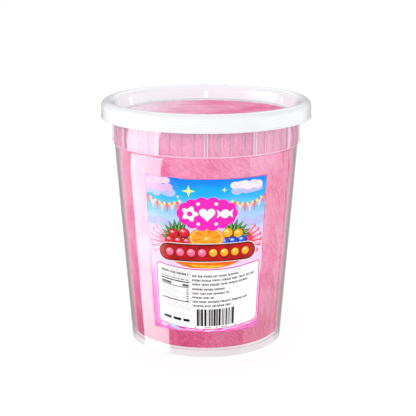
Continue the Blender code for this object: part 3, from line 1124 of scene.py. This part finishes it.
def make_label():
    """Cuts the drawing into one sheet of flat colour fields and wraps it round the tub."""
    art = Drawing()
    for draw in (draw_sky, draw_bunting, draw_juice, draw_fruit, draw_panel, draw_burst, draw_foot):
        draw(art)
    half = LABEL_HALF_WIDTH
    points, faces, edges = [], [], []
    for _, outline in art.shapes:
        start = len(points)
        area = sum(x0 * y1 - x1 * y0 for (x0, y0), (x1, y1) in zip(outline, outline[1:] + outline[:1]))
        points += [Vector(p) for p in (outline if area > 0 else reversed(outline))]
        faces.append(list(range(start, len(points))))
    strips = 46
    for strip in range(1, strips):
        x = -half + 2 * half * strip / strips
        edges.append((len(points), len(points) + 1))
        points += [Vector((x, LABEL_FOOT - 0.01)), Vector((x, LABEL_TOP + 0.01))]
    flat_points, _, triangles, _, _, sources = geometry.delaunay_2d_cdt(points, edges, faces, 1, 1e-4)
    inks = label_inks()
    names = list(inks)
    mesh = bmesh.new()
    drawn = mesh.loops.layers.uv.new("drawn")
    verts = {}
    for triangle, source in zip(triangles, sources):
        if not source:
            continue
        middle = sum((flat_points[i] for i in triangle), Vector((0, 0))) / 3
        if abs(middle.x) > half or not LABEL_FOOT < middle.y < LABEL_TOP:
            continue
        for i in triangle:
            if i not in verts:
                u = min(max(flat_points[i].x, -half), half)
                v = min(max(flat_points[i].y, LABEL_FOOT), LABEL_TOP)
                verts[i] = (mesh.verts.new(on_tub(u, v, LABEL_STAND_OFF)), u, v)
        corners = [verts[i][0] for i in triangle]
        if len(set(corners)) < 3:
            continue
        face = mesh.faces.new(corners)
        face.material_index = names.index(art.shapes[max(source)][0])
        for loop, i in zip(face.loops, triangle):
            _, u, v = verts[i]
            loop[drawn].uv = ((u + half) / 100, (v - LABEL_FOOT) / (LABEL_TOP - LABEL_FOOT))
    bmesh.ops.recalc_face_normals(mesh, faces=mesh.faces)
    film = plain_ink("label_film", (250, 246, 250))
    mesh_data = finished("label_print", mesh)
    label = place("label_print", mesh_data, [*inks.values(), film], 60, "label")
    solid = label.modifiers.new("Solidify", "SOLIDIFY")
    solid.thickness = LABEL_FILM * MM
    solid.offset = -1
    solid.material_offset = len(names)
    solid.material_offset_rim = len(names)
    label.visible_diffuse = False
    label.visible_shadow = False


# -------- stage


def stage_sheet(name, size, segments):
    """A flat square in the scene."""
    mesh = bmesh.new()
    bmesh.ops.create_grid(mesh, x_segments=segments, y_segments=segments, size=size)
    return linked(name, finished(name, mesh))


def make_stage():
    """A bright white room with a pale floor, three soft lamps and two cards for reflections."""
    scene = bpy.context.scene
    scene.view_settings.view_transform = "Standard"
    scene.view_settings.look = "None"
    world = bpy.data.worlds.new("studio")
    scene.world = world
    world.use_nodes = True
    tree = world.node_tree
    background = tree.nodes["Background"]
    background.inputs["Color"].default_value = (1.0, 1.0, 1.0, 1)
    rays = tree.nodes.new("ShaderNodeLightPath")
    strength = tree.nodes.new("ShaderNodeMapRange")
    strength.inputs["To Min"].default_value = 0.8
    strength.inputs["To Max"].default_value = 1.0
    tree.links.new(rays.outputs["Is Camera Ray"], strength.inputs["Value"])
    tree.links.new(strength.outputs[0], background.inputs["Strength"])

    floor = stage_sheet("floor", 3.0, 8)
    n = Nodes("floor_paper")
    n.set(Base_Color=(0.38, 0.38, 0.38, 1), Roughness=0.9, Specular_IOR_Level=0.1)
    n.set(Emission_Color=(1.0, 1.0, 1.0, 1.0), Emission_Strength=0.69)
    floor.data.materials.append(n.material)
    floor.visible_glossy = False

    lamps = (
        ("key", (-0.5, -1.0, 0.5), 0.7, 3.2),
        ("fill", (0.8, -0.7, 0.55), 0.6, 0.6),
        ("back", (0.1, 0.9, 0.9), 0.8, 2.2),
    )
    for name, spot, size, power in lamps:
        light = bpy.data.lights.new(name, "AREA")
        light.shape = "SQUARE"
        light.size = size
        light.energy = power
        lamp = linked(name, light)
        lamp.location = spot
        lamp.rotation_euler = (Vector((0, 0, 0.07)) - Vector(spot)).to_track_quat("-Z", "Y").to_euler()

    cards = (
        ("left_card", -83, 0.55, 0.52, 0.9, -0.02, 9.5),
        ("right_card", 91, 0.6, 0.8, 0.9, -0.02, 2.2),
    )
    for name, azimuth, distance, width, tall, middle, strength in cards:
        a = math.radians(azimuth)
        card = stage_sheet(name, 0.5, 1)
        card.location = (math.sin(a) * distance, -math.cos(a) * distance, middle)
        card.rotation_euler = (math.pi / 2, 0, a)
        card.scale = (width, tall, 1)
        n = Nodes(name)
        glow = n.add("ShaderNodeEmission", {"Strength": strength})
        n.tree.links.new(glow.outputs[0], n.output.inputs[0])
        card.data.materials.append(n.material)
        card.visible_camera = False
        card.visible_diffuse = False
        card.visible_shadow = False
        card.visible_transmission = False


def make_camera():
    """A long lens a little above the lid, looking slightly down."""
    data = bpy.data.cameras.new("camera")
    data.sensor_width = 36
    data.lens = 104.3
    camera = linked("camera", data)
    camera.location = (0.00104, -0.6708, 0.2409)
    camera.rotation_euler = (math.radians(90 - 13.93), 0, 0)
    bpy.context.scene.camera = camera


make_camera()
wall_plastic = clear_plastic(
    "wall_plastic",
    [(0.0, 0.045), (0.5, 0.07), (0.62, 0.1), (0.69, 0.42), (0.74, 0.6), (0.8, 0.9), (1.0, 0.96)],
    [(0.0, 0.9), (1.0, 1.0)],
    [
        (0.5, (0.96, 0.97, 0.92)),
        (0.68, (0.98, 0.98, 0.98)),
        (0.74, (0.4, 0.41, 0.43)),
        (0.82, (0.13, 0.135, 0.145)),
        (0.93, (0.18, 0.19, 0.2)),
        (1.0, (0.5, 0.53, 0.55)),
    ],
)
inner_plastic = clear_plastic(
    "inner_plastic",
    [(0.0, 0.012), (0.6, 0.03), (0.9, 0.15), (1.0, 0.3)],
    [(0.0, 1.0), (1.0, 1.0)],
    [(0.0, (0.9, 0.9, 0.92)), (1.0, (0.6, 0.6, 0.63))],
)
collar_plastic = clear_plastic(
    "collar_plastic",
    [(0.0, 0.12), (0.5, 0.14), (0.75, 0.2), (0.9, 0.45), (1.0, 0.92)],
    [(0.0, 0.2), (0.5, 0.25), (0.75, 0.7), (1.0, 1.0)],
    [
        (0.5, (0.98, 0.94, 0.96)),
        (0.8, (0.95, 0.92, 0.95)),
        (0.93, (0.66, 0.69, 0.73)),
        (1.0, (0.3, 0.33, 0.37)),
    ],
)
foot_solidity = [(0.0, 0.75), (0.6, 0.8), (1.0, 0.95)]
# The foot's dark brownish edge colour draws a painted shade line along its rounded edges.
thick_plastic = milky_plastic("thick_plastic", (234, 229, 233), foot_solidity, (140, 130, 122))
# Rib plastics: their edge colours are painted shade, and the paler, more solid one for the ribs' edge strips
# and the collar's foot line is a painted highlight.
rib_face = milky_plastic("rib_face", (238, 188, 220), [(0.0, 0.55), (1.0, 0.6)], (224, 184, 210))
rib_edge_highlight = milky_plastic("rib_edge_highlight", (255, 238, 250), [(0.0, 0.75), (1.0, 0.9)], (236, 214, 230))
# The lid's grey edge colour is a painted shade at its sides, and its recess wall glows a little by emission:
# painted light.
lid_plastic = milky_plastic(
    "lid_plastic",
    (243, 244, 247),
    [(0.0, 0.92), (0.6, 0.94), (1.0, 1.0)],
    (150, 150, 158),
    [(0, 0.04), (PANEL_EDGE, 0.05), (RECESS_FOOT, 0.96), (RECESS_TOP_RADIUS, 1), (LID_RADIUS, 1)],
    [(PANEL_EDGE, 0.0), (RECESS_FOOT, 0.1), (RECESS_TOP_RADIUS + 1, 0.08), (CREST_RADIUS, 0.0)],
)
# The lugs glow evenly by emission, painted light, and their edge colour is a painted shade.
lug_plastic = milky_plastic(
    "lug_plastic",
    (255, 255, 255),
    [(0.0, 1.0), (1.0, 1.0)],
    (226, 230, 236),
    [(0, 1.0), (LID_RADIUS, 1.0)],
    [(0, 0.16), (LID_RADIUS, 0.16)],
)
# Floss colours, deepest to palest: the first also paints the shade at the foot, the third the painted light
# inside the collar.
floss = spun_sugar("spun_sugar", (206, 44, 112), (240, 102, 162), (255, 176, 214), (255, 180, 212))
strands = spun_sugar("sugar_strands", (226, 90, 146), (246, 140, 188), (254, 176, 212), (255, 204, 226))
make_tub(wall_plastic, inner_plastic, thick_plastic, collar_plastic, rib_edge_highlight)
make_ribs(rib_face, rib_edge_highlight)
make_lid(lid_plastic)
make_lugs(lug_plastic)
make_candy(floss)
make_fibres("candy_fibres", strands, 3000, 11, 0.075)
make_fibres("candy_top_fibres", strands, 900, 12, 0.07, top=True)
make_label()
make_stage()
